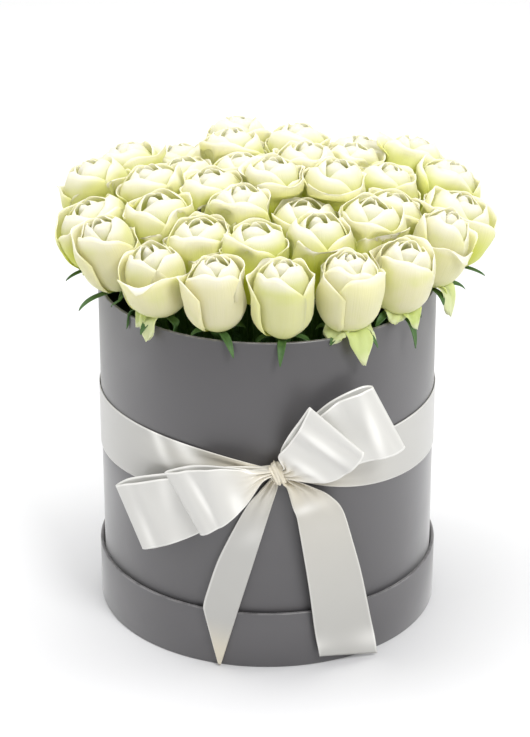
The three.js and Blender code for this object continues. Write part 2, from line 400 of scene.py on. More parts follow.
box_low, box_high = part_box("box_wall")
lid_low, lid_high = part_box("lid_band")
box_paper = paper_material("box_paper", box_high.z)
# Painted light: the lid's paper is the box's paper made 1.15 times lighter.
lid_paper = paper_material("lid_paper", lid_high.z, tint=1.15)
print("rim at", round(box_high.z / MM, 1), "mm, lid rim at", round(lid_high.z / MM, 1), "mm")

# %% [markdown]
# ## The box and the lid it stands in
# A hat box is a rolled card tube with a disc let into its foot, and its lid is a shorter, wider
# tube with a disc on top, here turned over and used as a tray. Paper is wrapped round each tube,
# turned over its rim and glued down inside, so a rim is softly rounded and a shallow step shows
# where the turned-in strip ends. Turning one outline round the axis gives all of this at once,
# and the wrapped paper's overlap down the back is added as a strip of its own.

# %% The four card pieces
BOARD = 2 * MM
WALL_INSIDE = box_high.x - BOARD
CARD_EDGE = 0.7 * MM  # how far the paper rounds a rim
DISC_EDGE = 0.4 * MM
TURN_IN = 16 * MM  # the strip of paper glued down inside a rim
PAPER = 0.18 * MM


def tube_outline(outer, low, high):
    """A card tube's outline, walked up its outside. Its rim is rounded, and the turn-in ends inside."""
    e = CARD_EDGE
    inner = outer - BOARD
    foot = [(inner, low + e), (inner + e, low), (outer - e, low)]
    foot += [(outer - 0.3 * e, low + 0.3 * e), (outer, low + e)]
    rim = [(outer, high - e), (outer - 0.3 * e, high - 0.3 * e), (outer - e, high), (inner + e, high)]
    rim += [(inner + 0.3 * e, high - 0.3 * e), (inner, high - e)]
    inside = [(inner, high - TURN_IN), (inner + PAPER, high - TURN_IN - PAPER), (inner + PAPER, low + 3 * e)]
    return foot + rim + inside


def disc_outline(radius, low, high):
    e = DISC_EDGE
    return [(0, low), (radius - e, low), (radius, low + e), (radius, high - e), (radius - e, high), (0, high)]


for name, node, body, material, outline_of in (
    ("box_tube", "box_wall", BOX, box_paper, tube_outline),
    ("box_base", "box_floor", BOX, box_paper, disc_outline),
    ("lid_rim", "lid_band", LID, lid_paper, tube_outline),
    ("lid_plate", "lid_disc", LID, lid_paper, disc_outline),
):
    low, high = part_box(node)
    piece = turned(name, outline_of(high.x, low.z, high.z), material, node, body)
    print(name, len(piece.data.polygons), "faces")

# %% The paper's overlap
LAP_HALF_ANGLE = math.radians(3.2)
LAP_COLUMNS = 12
LAP_INSET = 1 * MM  # from the foot and from the rim


def paper_overlap(name, low, high, body, material):
    """The wrapped paper's lapped end: a thin upright strip on the back of a tube."""
    angle = np.linspace(math.pi / 2 - LAP_HALF_ANGLE, math.pi / 2 + LAP_HALF_ANGLE, LAP_COLUMNS)
    column = np.arange(LAP_COLUMNS)
    from_edge = np.minimum(column, column[::-1])
    lift = high.x + PAPER * np.clip(from_edge * 2.0, 0.15, 1)
    loop = [(r * math.cos(a), r * math.sin(a)) for a, r in zip(angle, lift)]
    loop += [(high.x * math.cos(a), high.x * math.sin(a)) for a in angle[::-1]]
    points = [(x, y, z) for z in (low.z + LAP_INSET, high.z - LAP_INSET) for x, y in loop]
    new_piece(name, points, tube_faces(2, len(loop)), material, body=body, smooth=False)


paper_overlap("box_paper_lap", box_low, box_high, BOX, box_paper)
paper_overlap("lid_paper_lap", lid_low, lid_high, LID, lid_paper)
print("two paper overlaps made")

# %% [markdown]
# ## Liner and foam
# Wet foam would soak the card, so a thin black plastic liner stands inside the box, and the foam
# drum in it holds the stems. Both are right as the CAD has them, down to the hole round each
# stem, so their nodes stay and only get finishes: scuffed black plastic, and open-celled foam.
# The liner is near black, partly its own black plastic and partly painted shade for the dark
# just inside the rim.

# %% Liner and foam materials


def foam_material():
    material, tree, shader = new_material("soaked_foam", Roughness=0.75, Specular_IOR_Level=0.4)
    cell = {"Vector": coordinates(tree), "Scale": 700}
    cells = result(tree, "ShaderNodeTexVoronoi", cell, "Distance")
    wet = noise(tree, 30).mixed((0.02, 0.07, 0.028, 1), (0.045, 0.13, 0.055, 1))
    base = cells.ranged(0.0, 0.5).mixed((0.012, 0.04, 0.016, 1), wet)
    plug(shader, {"Base Color": base, "Normal": bump(cells, 1.0, 0.0006)})
    return material


def liner_material():
    # Near black: partly the liner's own black plastic, partly painted shade inside the rim.
    material, tree, shader = new_material("black_liner_and_shade", Roughness=0.4)
    scuffs = noise(tree, 60, 6)
    base = scuffs.mixed((0.008, 0.008, 0.008, 1), (0.022, 0.022, 0.021, 1))
    plug(shader, {"Base Color": base, "Roughness": scuffs.ranged(0.3, 0.7, 0.3, 0.55)})
    return material


for node, material in (("foam_drum", foam_material()), ("foam_liner", liner_material())):
    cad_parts[node].data.materials.clear()
    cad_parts[node].data.materials.append(material)

# %% [markdown]
# ## Leaves and petals as one kind of thing
# A rose follows a rule: each petal stands a golden-section turn round from the last, a little
# further out, and opens a little wider. That is a job for Geometry Nodes. Petals and sepals are
# both blades: one flat grid is put on each of a number of points, all at the origin, and every
# copy is then bent by the same formulas, which read what its point carries.

# %% Geometry Nodes helpers


def kept(geometry, name, value):
    """Stores a Field on the geometry under a name, and returns the geometry."""
    sockets = {"Geometry": geometry, "Name": name, "Value": value}
    kind = "GeometryNodeStoreNamedAttribute"
    return result(geometry.tree, kind, sockets, "Geometry", data_type="FLOAT", domain="POINT")


def recalled(tree, name):
    return result(tree, "GeometryNodeInputNamedAttribute", {"Name": name}, "Attribute", data_type="FLOAT")


def luck(tree, seed, salt):
    """A random number from 0 to 1 for each point, fixed by the tree's Seed."""
    return result(tree, "FunctionNodeRandomValue", {"Seed": seed * 17 + salt}, 1, data_type="FLOAT")


def blades(tree, count, columns, rows, fields):
    """Puts a grid on each of count points and realizes them. fields maps names to what each point
    carries. Returns the geometry, and u from -1 to 1 across a blade and v from 0 to 1 along it."""
    points = result(tree, "GeometryNodePoints", {"Count": count})
    for name, value in fields.items():
        points = kept(points, name, value)
    size = {"Size X": 2, "Size Y": 1, "Vertices X": columns, "Vertices Y": rows}
    blade = result(tree, "GeometryNodeMeshGrid", size, "Mesh")
    place = result(tree, "GeometryNodeInputPosition")
    blade = kept(blade, "across", separated(place, "X"))
    blade = kept(blade, "along", separated(place, "Y") + 0.5)
    copies = result(tree, "GeometryNodeInstanceOnPoints", {"Points": points, "Instance": blade})
    real = result(tree, "GeometryNodeRealizeInstances", {0: copies})
    return real, recalled(tree, "across"), recalled(tree, "along")


def shaped(outputs, geometry, material, x, y, z):
    """Moves the blades' points to x, y, z, gives them the material and ends the tree."""
    tree = geometry.tree
    place = combined(tree, x, y, z)
    moved = result(tree, "GeometryNodeSetPosition", {"Geometry": geometry, "Position": place})
    painted = result(tree, "GeometryNodeSetMaterial", {"Geometry": moved, "Material": material})
    plug(outputs, {"Geometry": painted})


def grown(tree, material, **values):
    """Evaluates a tree with these input values and returns the result as a plain mesh."""
    carrier = place_object(tree.name, bpy.data.meshes.new(tree.name))
    modifier = carrier.modifiers.new(tree.name, "NODES")
    modifier.node_group = tree
    sockets = {s.name: s.identifier for s in tree.interface.items_tree if s.in_out == "INPUT"}
    for key, value in {"Material": material, **values}.items():
        modifier[sockets[key]] = value
    evaluated = carrier.evaluated_get(bpy.context.evaluated_depsgraph_get())
    mesh = bpy.data.meshes.new_from_object(evaluated)
    bpy.data.objects.remove(carrier)
    return mesh


# %% [markdown]
# ## The petals of one rose
# In a half-open rose the outer petals make a deep round-bottomed cup. They bulge at the belly,
# part a little at the rim and roll their edges back, while the inner petals are wrapped into a
# bud that closes over itself. Only a petal's order, from 0 at the heart to 1 outside, changes
# how far out it stands, how wide it wraps, how much it closes over and how much it flares. One
# side of each petal stands a little further out than the other, so each tucks under its
# neighbour.

# %% The Geometry Nodes tree for petals
GOLDEN_TURN = math.radians(137.508)
PETAL_COLUMNS, PETAL_ROWS = 17, 17
BELLY = 0.5  # share of a petal's run that makes the tapered bottom
BELLY_HEIGHT = 0.44  # share of the bloom's height that the tapered bottom takes


def build_petal_tree():
    values = {"Petals": 15, "Radius": 0.019, "Height": 0.047, "Openness": 0.5, "Seed": 1, "Material": None}
    tree, given, outputs = new_tree("GeometryNodeTree", "rose_petals", values, ["Geometry"])
    petals, radius, height, openness, seed, material = given.values()
    index = result(tree, "GeometryNodeInputIndex")
    fields = {
        "order": index / (petals - 1),
        "turn": index * GOLDEN_TURN + (luck(tree, seed, 1) - 0.5) * 0.35 + seed * 2.1,
        "luck": luck(tree, seed, 2),
        "slant": luck(tree, seed, 3) - 0.5,
    }
    geometry, u, v = blades(tree, petals, PETAL_COLUMNS, PETAL_ROWS, fields)
    order, turn, chance, slant = (recalled(tree, key) for key in fields)
    outside = order.ranged(0.5, 1.0)
    side = u.abs()

    # How far up the petal a point is; its corners are rounded, and some tips are pointed.
    pointed = (-((u + slant * 0.8) ** 2) * 14).exp() * v**6 * outside * (chance - 0.25)
    run = v * (1 - 0.26 * side**3.5) + pointed * 0.16
    bottom = (run / BELLY).clamped() * (math.pi / 2)
    above = ((run - BELLY) / (1 - BELLY)).math("MAXIMUM", 0)

    # How far out it stands, as a share of the bloom's radius.
    belly = 0.33 + 0.67 * order**0.6
    mouth = 0.05 + 0.64 * order + 0.22 * order**4
    flare = openness * outside * (0.08 + 0.40 * chance)
    roll = openness * (0.2 + 0.8 * outside) * (0.3 + 0.7 * chance)
    profile = belly * (bottom.sin() + 0.05 * (above * math.pi).sin()) + (mouth - belly) * above**3
    profile = profile + flare * above**4 + 0.20 * roll * above**10
    profile = profile + 0.16 * roll * side**4 * above**2
    ruffle = (u * 7 + chance * 20).sin() * above**3 * order
    wobble = noise(tree, 0.9, 1, combined(tree, u, v * 1.4, order * 9 + seed * 3.7)) - 0.5
    profile = profile + 0.05 * u * order + 0.06 * ruffle + 0.4 * wobble * above * order
    distance = radius * profile

    # How high it stands, and how far round it wraps.
    low = height * BELLY_HEIGHT
    tall = height * (1.01 - 0.07 * order - outside * (0.03 + 0.27 * chance * chance))
    tall = tall * (1 + 0.30 * slant * u * outside)
    rise = low * (run / BELLY).clamped() ** 1.6 + (tall - low) * above
    rise = rise - height * (0.09 * roll * above**8 - 0.035 * (u * 6 + chance * 9).sin() * above**4 * order)
    wrap = 1.9 - 0.6 * order**0.7
    angle = turn + u * wrap * (0.5 + 0.5 * v.ranged(0.0, 0.45))
    geometry = kept(geometry, "petal_rim", run)
    shaped(outputs, geometry, material, distance * angle.cos(), distance * angle.sin(), rise)
    return tree


PETAL_TREE = build_petal_tree()
print(PETAL_TREE.name, "has", len(PETAL_TREE.nodes), "nodes")

# %% [markdown]
# ## Petal colour
# These roses are cream white at the rims and turn a fresh yellow-green in the depths: partly the
# rose's own green base, and partly painted light that reaches the petals through other petals,
# with a faint painted glow added there. The colour follows the petal's own run, from base to
# rim, and its order in the bloom, both left on the mesh by the tree. Fine veins fan up each
# petal and raise it a hair's breadth.

# %% Petal material
# The depth colour is painted low on each petal: partly the rose's own green base, partly painted light that
# passes through other petals.
PETAL_CREAM = (0.73, 0.68, 0.38, 1)
PETAL_HEART = (0.62, 0.65, 0.17, 1)
PETAL_DEPTH = (0.50, 0.54, 0.04, 1)
PETAL_EDGE = (0.80, 0.76, 0.56, 1)
# Painted glow: a faint emission, strongest in the depth colour, for light passing through petals.
PETAL_GLOW_COLOUR = (0.3, 0.3, 0.16, 1)
PETAL_GLOW = 0.10  # light that reaches a petal through the petals round it


def build_petal_veins():
    """Fine lines along a petal, from its across and along values, for colour and height."""
    tree, given, outputs = new_tree("ShaderNodeTree", "petal_veins", {"Lines": 16.0}, ["Vein"])
    across, along, order = (attribute(tree, key) for key in ("across", "along", "order"))
    place = combined(tree, across * given["Lines"], along, order)
    plug(outputs, {"Vein": noise(tree, 2.2, 5, place)})
    return tree


PETAL_VEINS = build_petal_veins()


def petal_material(name, cream, heart, depth, edge):
    material, tree, shader = new_material(
        name, Subsurface_Weight=0.4, Subsurface_Scale=0.006, Subsurface_Radius=(1.0, 0.95, 0.45),
        Roughness=0.5, Sheen_Weight=0.2, Specular_IOR_Level=0.35, Emission_Strength=PETAL_GLOW,
    )
    rim, order, green, reach = (
        attribute(tree, key) for key in ("petal_rim", "order", "greenness", "depth_reach")
    )
    (vein,) = grouped(tree, PETAL_VEINS)
    face = order.ranged(0.0, 0.7).mixed(heart, cream)
    face = noise(tree, 45).ranged(0.45, 0.7, 0.0, 0.5).mixed(face, heart)
    face = vein.ranged(0.5, 0.7, 0.0, 0.12).mixed(face, heart)
    face = green.ranged(0.0, 1.0, 0.0, 0.8, kind="LINEAR").mixed(face, heart)
    face = rim.ranged(0.8, 0.97).mixed(face, edge)
    # Painted near each petal's base: the depth colour and a stronger glow, partly the rose's own green and
    # partly painted light through other petals.
    base = (reach - rim).ranged(0.0, 0.5)
    plug(shader, {
        "Base Color": base.mixed(face, depth),
        "Emission Color": base.mixed(PETAL_GLOW_COLOUR, depth),
        "Roughness": vein.ranged(0.3, 0.7, 0.44, 0.58),
        "Normal": bump(vein, 0.35, 0.0004),
    })
    return material


petal_white = petal_material("petal_white", PETAL_CREAM, PETAL_HEART, PETAL_DEPTH, PETAL_EDGE)
print(petal_white.name, "has", len(petal_white.node_tree.nodes), "nodes")

# %% [markdown]
# ## Where each rose stands
# Each CAD rose is a leaning solid: its lowest points are the cut end of the stem, and the point
# furthest from them is the tip of the bloom. Those two give its axis, and the calyx sits a
# bloom's length below the tip.

# %% Read the axis of every rose
CAD_BLOOM = 49 * MM


def read_rose(node):
    points = np.array([v.co for v in node.data.vertices])
    foot = np.unique(np.round(points[points[:, 2] < points[:, 2].min() + 3 * MM], 5), axis=0).mean(axis=0)
    tip = points[np.argmax(np.linalg.norm(points - foot, axis=1))]
    axis = (tip - foot) / np.linalg.norm(tip - foot)
    return foot, tip - CAD_BLOOM * axis, axis


rose_names = sorted(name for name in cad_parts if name.startswith("rose_"))
feet, calyxes, axes = (np.array(v) for v in zip(*(read_rose(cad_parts[name]) for name in rose_names)))
print(len(rose_names), "roses, leaning up to", round(math.degrees(math.acos(axes[:, 2].min()))), "degrees")

# %% [markdown]
# ## Packing the blooms
# Blooms grown at their natural size would run into each other, as in the real box, where they
# press flat against their neighbours. So each is grown a little too big, and every point that
# would cross a wavy boundary halfway between two blooms is eased back to its own side. The
# easing keeps the order of the petals, so they crowd together and never cross. Above a lower
# neighbour there is nothing to press on, and a rim may lean out over it.

# %% Press each bloom against its neighbours
PRESS_ROUNDS = 2
PRESS_GAP = 0.3 * MM  # from a bloom to the boundary it is pressed against
PRESS_SOFTNESS = 1.2 * MM
PRESS_WAVE = 3.2 * MM  # how far the boundary waves out of the middle plane
NEIGHBOUR_REACH = 62 * MM  # between calyxes
LEAN_OVER_FROM = 0.86  # share of a neighbour's height from which a rim may lean out over it
LEAN_OVER_FADE = 7 * MM
WALL_CLEARANCE = 0.6 * MM
RIM_TOP, RIM_FADE = 2.5 * MM, 3 * MM  # the wall's pull ends above the rim, and fades in below that


def on_axis(points, k):
    along = (points - calyxes[k]) @ axes[k]
    return calyxes[k] + along[:, None] * axes[k], along


def pressed(points, i):
    """Eases points of rose i back from the wavy boundaries it shares with its neighbours."""
    apart = np.linalg.norm(calyxes - calyxes[i], axis=1)
    for _ in range(PRESS_ROUNDS):
        for j in np.flatnonzero((apart > 0) & (apart < NEIGHBOUR_REACH)).tolist():
            own, _along = on_axis(points, i)
            other, along = on_axis(points, j)
            gap = other - own
            length = np.linalg.norm(gap, axis=1)
            normal = gap / length[:, None]
            wave = np.sin(points @ (95, 130, 150) + 2.3 * (i + j)) * np.sin(points @ (-120, 80, 60) + i * j)
            limit = length / 2 - PRESS_GAP + (PRESS_WAVE if i < j else -PRESS_WAVE) * wave
            reach = np.einsum("ij,ij->i", points - own, normal)
            eased = limit - PRESS_SOFTNESS * np.logaddexp(0, (limit - reach) / PRESS_SOFTNESS)
            leans_over = (i < j) == ((i + j) % 2 == 0)
            free_from = (LEAN_OVER_FROM if leans_over else 1) * bloom_heights[j]
            t = np.clip((along - free_from) / LEAN_OVER_FADE, 0, 1)
            share = 1 - t * t * (3 - 2 * t)
            points = points + ((eased - reach) * share)[:, None] * normal
    return points


def clear_of_rim(points):
    """Draws in any point that would sit in the box's wall, and lets the rest lean out over it."""
    radius = np.hypot(points[:, 0], points[:, 1])
    depth = np.clip((box_high.z + RIM_TOP - points[:, 2]) / RIM_FADE, 0, 1)
    over = np.maximum(radius - (WALL_INSIDE - WALL_CLEARANCE), 0) * depth
    points[:, :2] *= (1 - over / np.maximum(radius, MM))[:, None]
    return points


def standing(points, i):
    """Takes points made about +Z to rose i: its calyx, and its lean."""
    turn = Vector((0, 0, 1)).rotation_difference(Vector(axes[i])).to_matrix()
    return points @ np.array(turn).T + calyxes[i]


def mesh_points(mesh):
    points = np.zeros(len(mesh.vertices) * 3)
    mesh.vertices.foreach_get("co", points)
    return points.reshape(-1, 3)


def thickened(piece, thickness):
    modifier = piece.modifiers.new("petal_thickness", "SOLIDIFY")
    modifier.thickness = thickness
    modifier.offset = 0


# %% The 36 blooms
rng = np.random.default_rng(41)
rose_count = len(rose_names)
outer_ring = np.hypot(calyxes[:, 0], calyxes[:, 1]) > 80 * MM
front_row = (calyxes[:, 1] < -25 * MM) & outer_ring
bloom_heights = 47 * MM + np.where(front_row, 3, 7) * MM * rng.uniform(-1, 1, rose_count)
bloom_openness = np.where(outer_ring, rng.uniform(0.4, 0.8, rose_count), rng.uniform(0.5, 1.3, rose_count))
bloom_openness[front_row] = rng.uniform(0.25, 0.6, front_row.sum())
bloom_radii = np.where(front_row, 18.5 * MM, 24.5 * MM) + 1.2 * MM * rng.uniform(-1, 1, rose_count)
bloom_green = rng.uniform(0, 0.45, rose_count) ** 1.5
GREENER = {10: 0.8, 22: 0.6, 27: 0.8, 28: 0.7, 33: 0.5, 6: 0.7}  # rose number: greenness
for number, green in GREENER.items():
    bloom_green[number - 1] = green
PETAL_THICKNESS = 0.35 * MM
# Painted light: the front blooms face the light, so the painted depth colour reaches less far up their
# petals.
FRONT_DEPTH_REACH = 0.42  # how far up the front blooms' petals their deep colour reaches


def build_bloom(i):
    values = {
        "Petals": int(9 + rng.integers(0, 4)),
        "Radius": float(bloom_radii[i]),
        "Height": float(bloom_heights[i]),
        "Openness": float(bloom_openness[i]),
        "Seed": i + 1,
    }
    mesh = grown(PETAL_TREE, petal_white, **values)
    mesh.name = rose_names[i] + "_petals"
    points = clear_of_rim(pressed(standing(mesh_points(mesh), i), i))
    mesh.vertices.foreach_set("co", points.ravel())
    write_number(mesh, "greenness", np.full(len(points), bloom_green[i]))
    write_number(mesh, "depth_reach", np.full(len(points), FRONT_DEPTH_REACH if front_row[i] else 1.0))
    mesh.shade_smooth()
    mesh.update()
    piece = place_object(mesh.name, mesh)
    thickened(piece, PETAL_THICKNESS)
    declare(piece, rose_names[i])
    return len(mesh.polygons)


print("petal faces before thickness:", sum(build_bloom(i) for i in range(rose_count)))

# %% [markdown]
# ## The green under each bloom
# Below the petals sit the swollen calyx, five narrow sepals and the stem. The sepals repeat
# round the calyx, so they are blades from a second tree: each leaves the calyx outwards under
# the cup, and curls down towards its tip. Some roses also keep their guard petals, the
# outermost ones, which are small, ruffled and green. They come from the same tree with other
# values. Stem and calyx are one turned shape.

# %% The Geometry Nodes tree for sepals and guard petals
BLADE_COLUMNS, BLADE_ROWS = 9, 16
BLADE_START = 2.5 * MM  # from the calyx's axis


def build_blade_tree():
    values = {
        "Blades": 5, "Length": 0.022, "Width": 0.005, "Lift": 0.2, "Droop": 0.5, "Ruffle": 0.0,
        "First": 0.0, "Spread": 6.283, "Seed": 1, "Material": None,
    }
    tree, given, outputs = new_tree("GeometryNodeTree", "blades_round_calyx", values, ["Geometry"])
    count, longest, widest, raised, droop, ruffled, first, spread, seed, material = given.values()
    index = result(tree, "GeometryNodeInputIndex")
    fields = {
        "turn": first + spread * (index + (luck(tree, seed, 1) - 0.5) * 0.4) / count,
        "luck": luck(tree, seed, 2),
        "order": luck(tree, seed, 3),
    }
    geometry, u, v = blades(tree, count, BLADE_COLUMNS, BLADE_ROWS, fields)
    turn, chance = recalled(tree, "turn"), recalled(tree, "luck")
    length = longest * (0.75 + 0.5 * chance)
    ruffle = ruffled * v**1.5

    # Half the width: a sepal is widest near its foot, and a ruffled guard petal nearer its tip.
    place = v ** (1 + 0.7 * ruffled)
    half = widest * ((place * 0.86 + 0.125) * math.pi).sin() ** (0.75 - 0.25 * ruffled)
    half = half * (1 + 0.12 * ruffle * (v * 15 + chance * 10).sin())
    wave = (v * 9 + u * 7 + chance * 30).sin()
    rounding = 0.12 * ruffled * u**2 * v**2
    out = length * (v - 0.18 * v**3 - rounding) + BLADE_START
    lift = length * (raised * (v * math.pi * 0.8).sin() - droop * (0.4 + 0.9 * chance) * v**2.2)
    lift = lift + half * (0.35 * u * u + 0.25 * ruffle * wave)
    bend = half * u + length * 0.2 * (chance - 0.5) * v**2
    x = out * turn.cos() - bend * turn.sin()
    y = out * turn.sin() + bend * turn.cos()
    shaped(outputs, kept(geometry, "petal_rim", v), material, x, y, lift)
    return tree


BLADE_TREE = build_blade_tree()
print(BLADE_TREE.name, "has", len(BLADE_TREE.nodes), "nodes")

# %% Green materials
GUARD_PALE = (0.68, 0.74, 0.34, 1)
GUARD_GREEN = (0.52, 0.64, 0.17, 1)
GUARD_DEPTH = (0.34, 0.44, 0.10, 1)


def green_material(name, dark, light, roughness):
    material, tree, shader = new_material(name, Roughness=roughness, Specular_IOR_Level=0.4)
    streaks = noise(tree, 260, 4)
    plug(shader, {"Base Color": streaks.mixed(dark, light), "Normal": bump(streaks, 0.3, 0.0003)})
    return material


stem_green = green_material("stem_green", (0.045, 0.13, 0.025, 1), (0.11, 0.22, 0.05, 1), 0.5)
sepal_green = green_material("sepal_green", (0.03, 0.08, 0.02, 1), (0.09, 0.19, 0.05, 1), 0.55)
# The guard petals get the same painted depth colour and painted glow.
guard_green = petal_material("guard_petal", GUARD_PALE, GUARD_GREEN, GUARD_DEPTH, GUARD_PALE)
print("greens:", stem_green.name, sepal_green.name, guard_green.name)

# %% Stem, calyx, sepals and guard petals of each rose
STEM_RADIUS = 2.35 * MM
STEM_SIDES = 10
CALYX_HEIGHTS = np.array([-6, -4, -2, 0, 1.6]) * MM
CALYX_RADII = np.array([2.4, 3.1, 4.3, 4.6, 2.6]) * MM
SEPAL_LENGTH = 20  # mm
SEPAL_THICKNESS = 0.4 * MM

# Sepals that are longer or hang further than the rest: length in mm, and droop.
SEPALS = {
    20: (26, 0.35),
    22: (21, 0.8),
    24: (24, 0.7),
    25: (30, 0.05),
    26: (32, -0.1),
    35: (34, -0.1),
    36: (36, 0.0),
}

# Guard petals of some roses: how many, the bearing they point to, the angle they spread over,
# length and half width in mm, and droop.
GUARDS = {
    23: (3, 62, 190, 20, 7.5, 0.6),
    24: (2, 46, 70, 20, 7, 0.4),
    25: (2, 75, 60, 23, 6.5, 0.45),
    35: (3, 268, 110, 20, 7, 0.15),
    20: (2, 330, 80, 19, 6, 0.5),
    27: (2, 110, 80, 22, 8, 0.0),
    30: (2, 160, 80, 20, 7, 0.2),
    33: (2, 215, 80, 20, 7, 0.2),
}


def stem_points(i):
    """Rings from the cut end up to the calyx, with a slight swelling at each node of the stem."""
    length = np.linalg.norm(calyxes[i] - feet[i])
    heights = np.concatenate([np.linspace(-length, -9 * MM, 16), CALYX_HEIGHTS])
    radii = STEM_RADIUS * (1 - 0.10 * (0.5 - 0.5 * np.cos(heights / (26 * MM) * 2 * math.pi + i)))
    radii[-5:] = CALYX_RADII
    radii[0] *= 0.92
    angle = np.linspace(0, 2 * math.pi, STEM_SIDES, endpoint=False)
    rings = [[(r * math.cos(a), r * math.sin(a), h) for a in angle] for r, h in zip(radii, heights)]
    return np.array(rings).reshape(-1, 3), len(heights)


def grown_leaves(i):
    """Meshes of the rose's sepals, and of its guard petals if it has any."""
    length, droop = SEPALS.get(i + 1, (SEPAL_LENGTH, float(rng.uniform(-0.05, 0.5))))
    yield grown(BLADE_TREE, sepal_green, Blades=5, Length=length * MM, Width=0.0024,
                Lift=0.14, Droop=droop, First=float(i), Seed=i + 1)
    if i + 1 in GUARDS:
        count, towards, spread, length, half_width, droop = GUARDS[i + 1]
        first = math.radians(towards - 90 - spread / 2)
        yield grown(BLADE_TREE, guard_green, Blades=count, Length=length * MM, Width=half_width * MM,
                    Lift=0.3, Droop=droop, Ruffle=1.0, First=first, Spread=math.radians(spread), Seed=i + 40)


def build_green(i):
    leaves = []
    for mesh in grown_leaves(i):
        leaf_points = pressed(standing(mesh_points(mesh), i), i)
        mesh.vertices.foreach_set("co", leaf_points.ravel())
        mesh.shade_smooth()
        leaves.append(place_object(rose_names[i] + "_sepals", mesh))
    with bpy.context.temp_override(active_object=leaves[0], selected_editable_objects=leaves):
        bpy.ops.object.join()
    thickened(leaves[0], SEPAL_THICKNESS)
    declare(leaves[0], rose_names[i])
    points, rows = stem_points(i)
    faces = tube_faces(rows, STEM_SIDES)
    new_piece(rose_names[i] + "_stem", standing(points, i), faces, stem_green, rose_names[i])


for i in range(rose_count):
    build_green(i)
print(rose_count, "stems with sepals made, and guard petals for", len(GUARDS), "roses")

# %% [markdown]
# ## Satin ribbon
# The ribbon is ivory double-face satin, 38 mm wide. Long floats of thread lie across it side by
# side, so it shines in broad soft bands that follow its folds, and its two woven edges are a
# little thicker than the rest. A ribbon only bends one way at a time, so a smooth strip between
# two edge curves is very near its real shape, and no cloth simulation would hold this exact tie
# better. Fine pleats gather it into the knot, and shallow creases cross it near the folds. Its
# colour holds painted light as well: painted highlights on the loops, on their raised creases and
# on the band beside the knot, and painted warm shading where it gathers into pleats.

# %% Satin material
# Painted light: the warm colour is painted warm shading in the gathered pleats, and the last is the painted
# highlight colour.
SATIN_WARM = (0.68, 0.625, 0.50, 1)
SATIN_COOL = (0.46, 0.455, 0.43, 1)
SATIN_PAINTED_HIGHLIGHT = (0.93, 0.92, 0.88, 1)


def build_satin_weave():
    """Soft thread lines across the ribbon and a heavier line near each woven edge, from the UV map:
    U runs from 0 to 1 over the width, and V runs in ribbon widths along the length."""
    tree, given, outputs = new_tree("ShaderNodeTree", "satin_weave", {"Threads": 60.0}, ["Height", "Edge"])
    place = coordinates(tree, "UV")
    stretch = {0: place, 1: combined(tree, 3, given["Threads"], 0)}
    threads = noise(tree, 1, 1, result(tree, "ShaderNodeVectorMath", stretch, operation="MULTIPLY"))
    edge = (separated(place, "X") - 0.5).abs().ranged(0.465, 0.485)
    plug(outputs, {"Height": edge * 3.0 + threads, "Edge": edge})
    return tree


SATIN_WEAVE = build_satin_weave()


def satin_material():
    material, tree, shader = new_material("ivory_satin", Roughness=0.28, Specular_IOR_Level=1.0)
    height, edge = grouped(tree, SATIN_WEAVE)
    # Painted warm shading: where the ribbon gathers into pleats its colour turns warmer and paler.
    base = attribute(tree, "gather").ranged(0.0, 0.8).mixed(SATIN_COOL, SATIN_WARM)
    # Paler near the woven edges, plus the painted highlight.
    lit = edge.ranged(0.0, 1.0, 0.0, 0.35).math("ADD", attribute(tree, "painted_highlight"), clamp=True)
    plug(shader, {"Base Color": lit.mixed(base, SATIN_PAINTED_HIGHLIGHT), "Normal": bump(height, 0.05, 0.0001)})
    return material


ivory_satin = satin_material()
print(ivory_satin.name, "has", len(ivory_satin.node_tree.nodes), "nodes")

# %% Ribbon helpers
RIBBON_WIDTH = 38 * MM
RIBBON_THICK = 0.4 * MM
WALL = box_high.x
KNOT_BEARING, KNOT_HEIGHT, KNOT_STAND_OFF = 3.2, 131.3, 8.4  # degrees, mm, mm


def around(bearing, height, stand_off):
    """A point in front of the wall: bearing in degrees from the front towards +X, sizes in mm."""
    a = np.radians(bearing)
    radius = WALL + np.asarray(stand_off) * MM
    return np.stack([radius * np.sin(a), -radius * np.cos(a), np.asarray(height) * MM], axis=-1)


def smooth_curve(control, t):
    """Points on a smooth curve through the control points; t counts control points from 0."""
    control = np.asarray(control, float)
    padded = np.vstack([2 * control[0] - control[1], control, 2 * control[-1] - control[-2]])
    k = t.astype(int)
    f = (t - k)[:, None]
    a, b, c, d = (padded[k + n] for n in range(4))
    return 0.5 * (2 * b + (c - a) * f + (2 * a - 5 * b + 4 * c - d) * f**2 + (3 * b - a - 3 * c + d) * f**3)


def run_edges(edges, rows, both_ends):
    """Both edges of a run at rows places evenly spaced along the ribbon, from inside the knot.
    A loop has both its ends in the knot, and a tail only its first."""
    tucked = [around(KNOT_BEARING, KNOT_HEIGHT + rise, KNOT_STAND_OFF - 1.5)[None] for rise in (1.5, -1.5)]
    first, second = (
        np.concatenate([inside, around(*np.array(edge).T)] + ([inside] if both_ends else []))
        for inside, edge in zip(tucked, edges)
    )
    fine = np.linspace(0, len(first) - 1 - 1e-6, 2000)
    middle = (smooth_curve(first, fine) + smooth_curve(second, fine)) / 2
    length = np.concatenate([[0], np.cumsum(np.linalg.norm(np.diff(middle, axis=0), axis=1))])
    t = np.interp(np.linspace(0, length[-1], rows), length, fine)
    return smooth_curve(first, t), smooth_curve(second, t)


def unit(vectors):
    return vectors / np.linalg.norm(vectors, axis=-1, keepdims=True)


def sheet_normals(grid, ring=False):
    if ring:
        along = np.roll(grid, -1, axis=0) - np.roll(grid, 1, axis=0)
    else:
        along = np.gradient(grid, axis=0)
    return unit(np.cross(along, np.gradient(grid, axis=1)))


